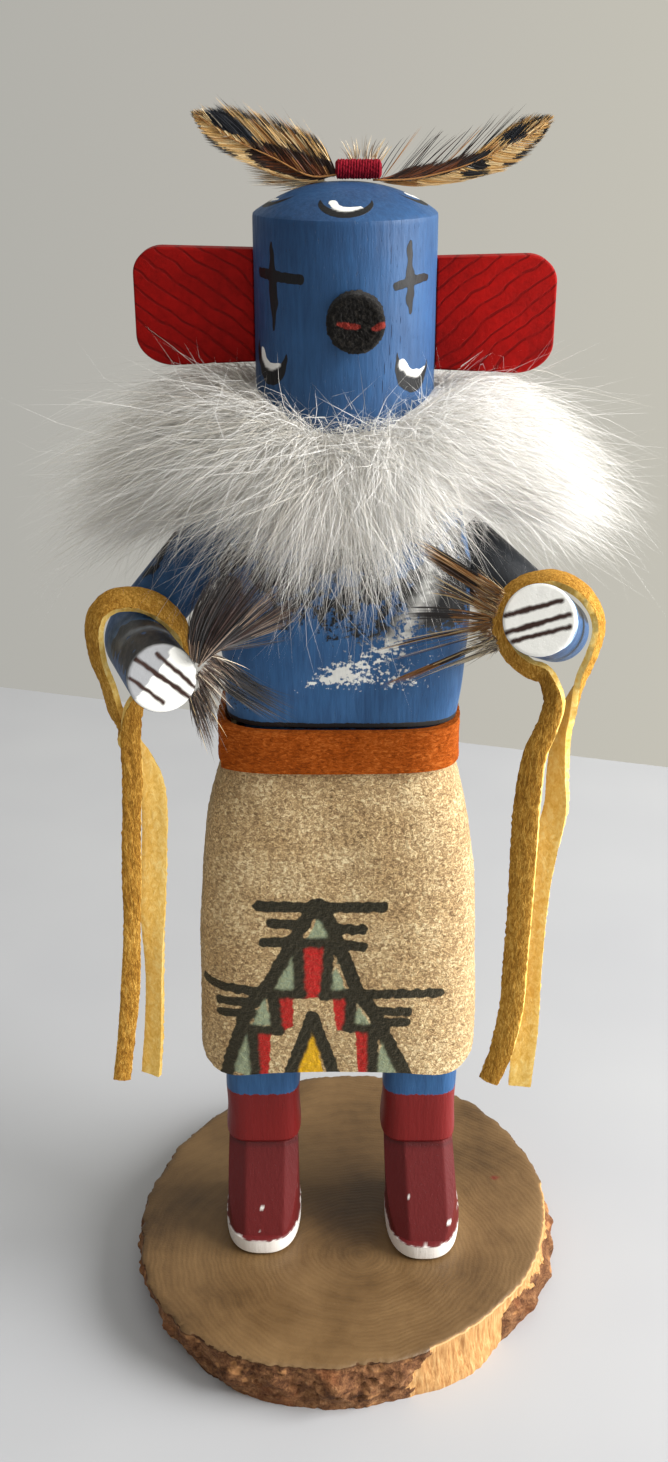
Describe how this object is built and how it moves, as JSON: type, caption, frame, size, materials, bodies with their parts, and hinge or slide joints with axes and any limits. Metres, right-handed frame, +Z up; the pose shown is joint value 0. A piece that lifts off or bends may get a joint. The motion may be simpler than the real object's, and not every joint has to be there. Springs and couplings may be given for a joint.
{
  "type": "kachina doll",
  "caption": "Carved and painted dancer doll with suede kilt, fur ruff, feathers and wrist laces, standing on a slice of branch.",
  "frame": {"origin": "on the table, under the middle of the branch slice", "axes": "+Z up, -Y out of the doll's face, +X towards the doll's left hand"},
  "size_m": [0.0791, 0.0763, 0.1976],
  "materials": {
    "base_wood": "sawn end grain, varnished, with bark on the rim",
    "blue_paint": "wood painted matt blue",
    "red_paint": "wood painted red, grain showing",
    "black_paint": "rough wood painted black",
    "kilt_suede": "napped suede, drawn on with ink",
    "belt_suede": "napped rust suede",
    "rabbit_fur": "long white rabbit fur",
    "lace_suede": "golden suede lace",
    "red_yarn": "wool yarn",
    "brown_feather": "banded feather",
    "dark_feather": "dark glossy feather",
    "down_feather": "soft down"
  },
  "bodies": {
    "root": {"base": "base_wood", "body": "blue_paint", "head": "blue_paint", "ear_left": "red_paint", "ear_right": "red_paint", "snout": "black_paint", "arm_left": "blue_paint", "arm_right": "blue_paint", "kilt": "kilt_suede", "belt": "belt_suede", "fur_ruff": "rabbit_fur", "lace_left": "lace_suede", "lace_right": "lace_suede", "crest_knot": "red_yarn", "crest_tuft": "down_feather", "crest_feather_left": "brown_feather", "crest_feather_left_under": "down_feather", "crest_feather_right": "brown_feather", "hand_feather_left": "dark_feather", "hand_down_left": "down_feather", "hand_feather_right": "brown_feather"}
  },
  "joints": []
}
